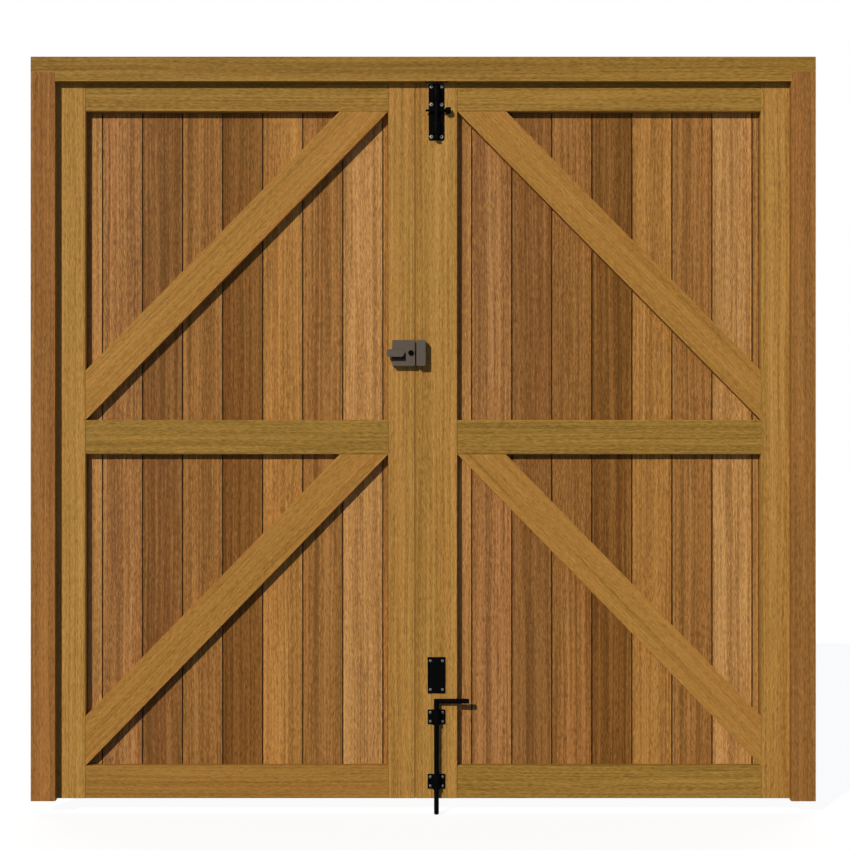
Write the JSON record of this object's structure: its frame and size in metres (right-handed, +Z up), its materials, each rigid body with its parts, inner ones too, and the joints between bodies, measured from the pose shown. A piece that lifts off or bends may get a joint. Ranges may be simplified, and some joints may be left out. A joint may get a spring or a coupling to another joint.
{
  "type": "garage door",
  "caption": "Pair of side-hung timber garage doors, framed, ledged and braced, in a rebated frame with bolts and a rim latch.",
  "frame": {"origin": "floor line, midway between the outer sides of the posts, in the plane of the frame's inner face", "axes": "+Z up; +X to the right seen from inside the garage; +Y out of the garage, the way the leaves open"},
  "size_m": [2.25, 0.0877, 2.174],
  "materials": {
    "post_wood": "oiled cedar, fine straight grain",
    "head_wood": "oiled cedar, fine straight grain",
    "stile_wood": "oiled cedar, fine straight grain",
    "rail_wood": "oiled cedar, fine straight grain",
    "brace_wood": "oiled cedar, fine straight grain",
    "board_wood_1": "oiled cedar, fine straight grain",
    "board_wood_2": "oiled cedar, fine straight grain",
    "board_wood_3": "oiled cedar, fine straight grain",
    "board_wood_4": "oiled cedar, fine straight grain",
    "board_wood_5": "oiled cedar, fine straight grain",
    "board_wood_6": "oiled cedar, fine straight grain",
    "board_wood_7": "oiled cedar, fine straight grain",
    "board_wood_8": "oiled cedar, fine straight grain",
    "board_wood_9": "oiled cedar, fine straight grain",
    "black_iron": "black enamel, low sheen",
    "latch_grey": "grey enamel, satin",
    "bright_steel": "zinc-plated steel",
    "cylinder_brass": "satin brass"
  },
  "bodies": {
    "frame": {"left_jamb": "post_wood", "right_jamb": "post_wood", "head": "head_wood", "top_bolt_keep": "black_iron", "left_hinge_plates": "black_iron", "right_hinge_plates": "black_iron", "left_hinge_pins": "black_iron", "right_hinge_pins": "black_iron", "frame_screws": "black_iron"},
    "left_leaf": {"left_hanging_stile": "stile_wood", "left_meeting_stile": "stile_wood", "left_top_rail": "rail_wood", "left_middle_rail": "rail_wood", "left_bottom_rail": "rail_wood", "left_upper_brace": "brace_wood", "left_lower_brace": "brace_wood", "left_board_1": "board_wood_1", "left_board_2": "board_wood_2", "left_board_3": "board_wood_3", "left_board_4": "board_wood_4", "left_board_5": "board_wood_5", "left_board_6": "board_wood_6", "left_board_7": "board_wood_7", "left_board_8": "board_wood_8", "left_board_9": "board_wood_9", "left_hinge_straps": "black_iron", "left_strap_screws": "black_iron", "latch_case": "latch_grey", "latch_cylinder": "cylinder_brass"},
    "right_leaf": {"right_hanging_stile": "stile_wood", "right_meeting_stile": "stile_wood", "right_top_rail": "rail_wood", "right_middle_rail": "rail_wood", "right_bottom_rail": "rail_wood", "right_upper_brace": "brace_wood", "right_lower_brace": "brace_wood", "right_board_1": "board_wood_9", "right_board_2": "board_wood_8", "right_board_3": "board_wood_7", "right_board_4": "board_wood_6", "right_board_5": "board_wood_5", "right_board_6": "board_wood_4", "right_board_7": "board_wood_3", "right_board_8": "board_wood_2", "right_board_9": "board_wood_1", "right_hinge_straps": "black_iron", "right_strap_screws": "black_iron", "latch_keep": "latch_grey", "top_bolt_plate": "black_iron", "upper_bolt_guide": "black_iron", "lower_bolt_guide": "black_iron", "rest_plate": "black_iron", "bolt_screws": "bright_steel"},
    "top_bolt": {"top_bolt_rod": "black_iron", "top_bolt_knob": "black_iron"},
    "bottom_bolt": {"bottom_bolt_rod": "black_iron"},
    "latch_bolt": {"latch_bolt": "bright_steel"},
    "latch_lever": {"latch_lever": "latch_grey"},
    "latch_snib": {"latch_snib": "black_iron"}
  },
  "joints": [
    {"name": "left_leaf_hinge", "type": "hinge", "parent": "frame", "child": "left_leaf", "pos_m": [-1.0695, 0.076, 1.0435], "axis": [0, 0, 1], "range_deg": [0, 110]},
    {"name": "right_leaf_hinge", "type": "hinge", "parent": "frame", "child": "right_leaf", "pos_m": [1.0695, 0.076, 1.0435], "axis": [0, 0, -1], "range_deg": [0, 110]},
    {"name": "top_bolt_slide", "type": "slide", "parent": "right_leaf", "child": "top_bolt", "axis": [0, 0, 1], "range_m": [0, 0.025]},
    {"name": "bottom_bolt_slide", "type": "slide", "parent": "right_leaf", "child": "bottom_bolt", "axis": [0, 0, 1], "range_m": [0, 0.06]},
    {"name": "latch_lever_turn", "type": "hinge", "parent": "left_leaf", "child": "latch_lever", "pos_m": [-0.0655, 0.005, 1.285], "axis": [0, -1, 0], "range_deg": [0, 24]},
    {"name": "latch_bolt_slide", "type": "slide", "parent": "left_leaf", "child": "latch_bolt", "axis": [1, 0, 0], "range_m": [0, 0.0124]},
    {"name": "latch_snib_press", "type": "slide", "parent": "left_leaf", "child": "latch_snib", "axis": [0, 1, 0], "range_m": [0, 0.003], "stiffness_N_per_m": 300}
  ],
  "couplings": [
    {"joint": "latch_bolt_slide", "follows": "latch_lever_turn", "m_per_rad": 0.029598}
  ]
}
